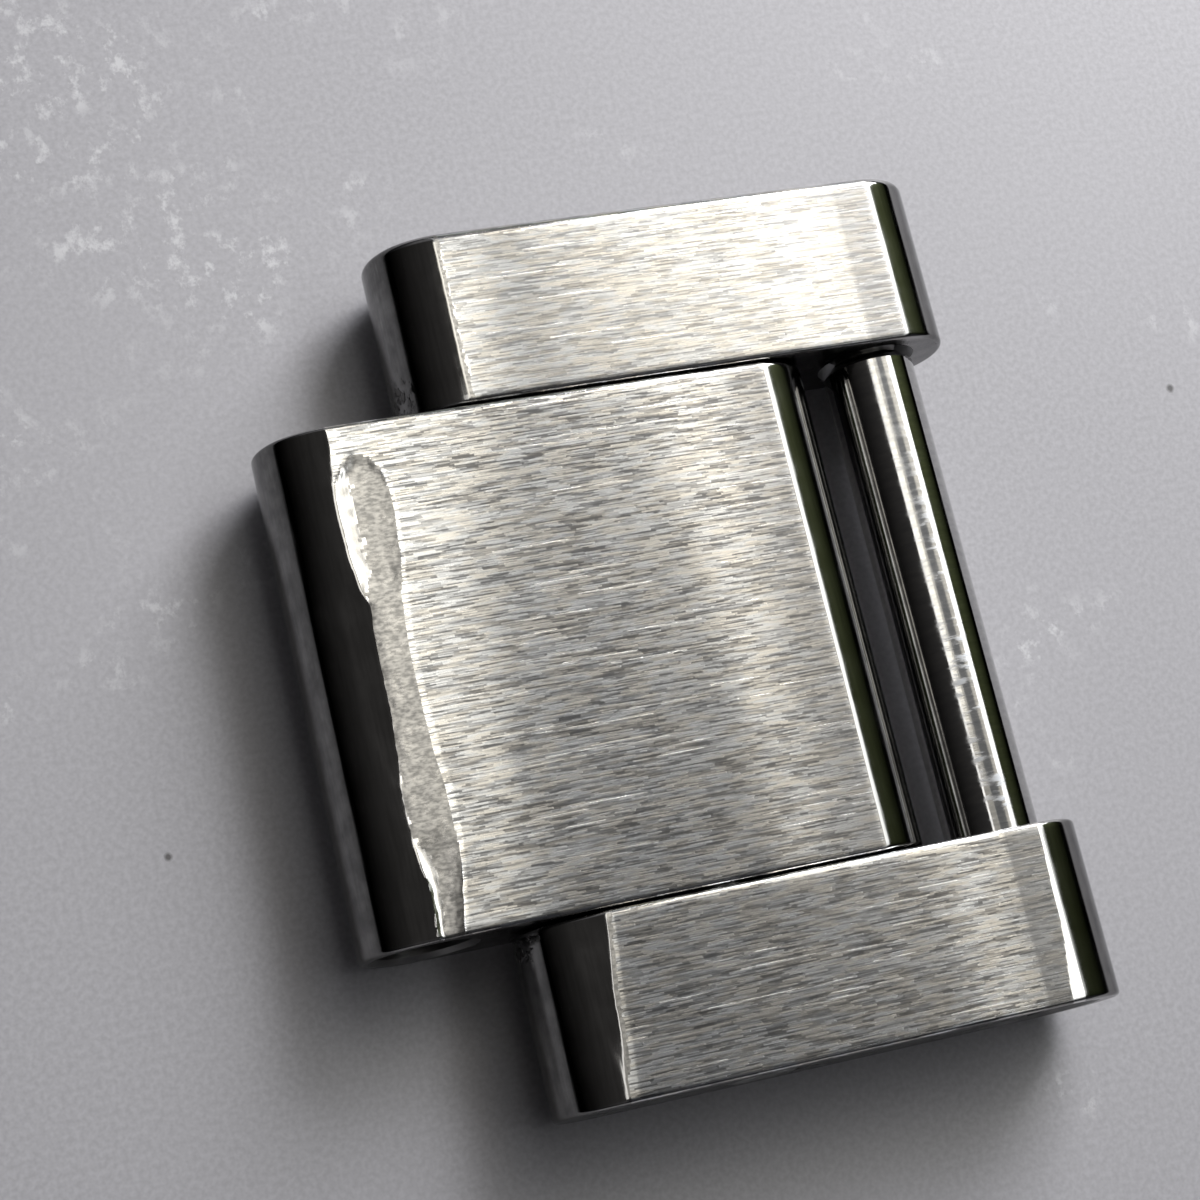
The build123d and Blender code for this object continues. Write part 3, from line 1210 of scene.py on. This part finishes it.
def world_light():
    """Soft light from all round, by direction: a bright panel to the right of overhead, and dark gaps."""
    world = bpy.data.worlds.new("studio")
    bpy.context.scene.world = world
    world.use_nodes = True
    tree = world.node_tree
    tree.nodes.clear()
    x, y, z = split(tree, add(tree, "ShaderNodeTexCoord").outputs["Generated"])
    turn = times(tree, math_node(tree, "ARCTAN2", x, z), 180 / math.pi)

    def soft_step(of, middle, soft, to_low, to_high):
        """Goes smoothly from one value to another round the middle."""
        made = add(
            tree,
            "ShaderNodeMapRange",
            {"interpolation_type": "SMOOTHSTEP"},
            Value=of,
            From_Min=middle - soft,
            From_Max=middle + soft,
            To_Min=to_low,
            To_Max=to_high,
        )
        return made.outputs["Result"]

    def zone(low, high, soft, of=turn):
        """1 inside a range and 0 outside it, with soft edges."""
        return times(tree, soft_step(of, low, soft, 0.0, 1.0), soft_step(of, high, soft, 1.0, 0.0))

    def growing(at_zero, growth):
        """Brightness that grows steeply towards the far side."""
        power = times(tree, math_node(tree, "MINIMUM", y, growth_end), growth)
        return times(tree, math_node(tree, "EXPONENT", power), at_zero)

    slanted = plus(tree, turn, times(tree, y, panel_slant))
    leaning = math_node(tree, "SUBTRACT", turn, times(tree, y, panel_lean))
    panel = times(tree, zone(*panel_start, slanted), zone(*panel_end, leaning), growing(*panel_growth))
    core = times(tree, zone(*core_range, leaning), growing(*core_growth))
    gap = times(tree, zone(*gap_start), zone(*gap_end, slanted), growing(*gap_growth))
    left = times(tree, zone(*left_range), remap(tree, turn, *left_fade))
    window = times(tree, zone(*window_across, y), zone(*window_range), window_brightness)
    room = math_node(tree, "SUBTRACT", 1.0, zone(*room_across, y))
    room = times(tree, room, remap(tree, turn, *room_fade), growing(*room_growth))
    horizon = times(tree, zone(*horizon_height, z), horizon_brightness)
    green = times(tree, zone(*green_range), remap(tree, turn, *green_fade), growing(*green_growth))
    band = zone(*band_across, y)

    total = (0.0, 0.0, 0.0)
    for share, tint in (
        (times(tree, band, panel), panel_tint),
        (times(tree, band, core), core_tint),
        (window, window_tint),
        (gap, gap_tint),
        (left, left_tint),
        (room, room_tint),
        (horizon, horizon_tint),
        (green, green_tint),
    ):
        scaled = add(tree, "ShaderNodeVectorMath", {"operation": "SCALE"}, i0=tint, Scale=share)
        total = add(
            tree,
            "ShaderNodeVectorMath",
            {"operation": "ADD"},
            i0=total,
            i1=scaled.outputs["Vector"],
        ).outputs["Vector"]
    background = add(tree, "ShaderNodeBackground", Color=total, Strength=1.0)
    add(tree, "ShaderNodeOutputWorld", Surface=background.outputs["Background"])


world_light()

# Lamp over the far right
key_direction = Vector((0.557, 0.663, 0.52))
key_distance = 130 * mm
key_side = 66 * mm
key_brightness = 7.9
key_tint = (0.99, 0.985, 1.01)

# Low cards over the link, which show only in reflections: the place of the middle across the link, the
# length across it, and the left and the right end, in millimetres, and the brightness.
cards = [
    ("far_card", 23, 14, -5, 3, 1.75),
    ("far_side_card", 23, 14, 3, 9, 0.85),
    ("middle_card", 10, 12, -5, 3, 1.6),
    ("middle_side_card", 10, 12, 3, 7, 0.60),
    ("near_card", -3, 14, -5, 6.5, 0.34),
]
card_height = 46 * mm
card_tint = (1.0, 0.96, 0.86)

# Narrow card over the left ends, in millimetres as above
strip = ("strip", 3, 30, -8.5, -5, 1.5)
strip_tint = (1.0, 0.98, 0.95)


def lamp(name, place, aim, size, brightness, tint, on_table=True):
    """Soft lamp that looks at a point; its brightness is that of its face, where 1 shows white."""
    data = bpy.data.lights.new(name, "AREA")
    data.shape = "RECTANGLE"
    data.size = size[0]
    data.size_y = size[1]
    data.energy = 4 * size[0] * size[1] * brightness
    data.color = tint
    made = bpy.data.objects.new(name, data)
    bpy.context.scene.collection.objects.link(made)
    made.location = Vector(place)
    towards = Vector(place) - Vector(aim)
    made.rotation_mode = "QUATERNION"
    made.rotation_quaternion = towards.to_track_quat("Z", "Y")
    made.visible_camera = False
    made.visible_diffuse = on_table


def card(name, y, length, left, right, brightness, tint):
    """Low lamp that looks straight down and doesn't light the table, from numbers in millimetres."""
    x = (left + right) / 2 * mm
    y *= mm
    lamp(name, (x, y, card_height), (x, y, 0), ((right - left) * mm, length * mm), brightness, tint, False)


lamp("key_lamp", key_direction * key_distance, (0, 0, 0), (key_side, key_side), key_brightness, key_tint)
for numbers in cards:
    card(*numbers, card_tint)
card(*strip, strip_tint)

# Camera
camera_place = Vector((-16.038, -10.650, 51.136)) * mm
camera_aim = Vector((-0.680, 1.377, 0.0)) * mm
camera_roll = math.radians(40.30)
camera_data = bpy.data.cameras.new("camera")
camera_data.lens = 82.55
camera_data.sensor_width = 36.0
camera_data.clip_start = 0.001
camera_data.clip_end = 10.0
camera = bpy.data.objects.new("camera", camera_data)
bpy.context.scene.collection.objects.link(camera)
forward = (camera_aim - camera_place).normalized()
right_hand = forward.cross(Vector((0, 0, 1))).normalized()
upward = right_hand.cross(forward)
turned_right = right_hand * math.cos(camera_roll) + upward * math.sin(camera_roll)
turned_up = upward * math.cos(camera_roll) - right_hand * math.sin(camera_roll)
camera.matrix_world = Matrix((
    (turned_right.x, turned_up.x, -forward.x, camera_place.x),
    (turned_right.y, turned_up.y, -forward.y, camera_place.y),
    (turned_right.z, turned_up.z, -forward.z, camera_place.z),
    (0, 0, 0, 1),
))
bpy.context.scene.camera = camera
bpy.context.scene.view_settings.view_transform = "Standard"
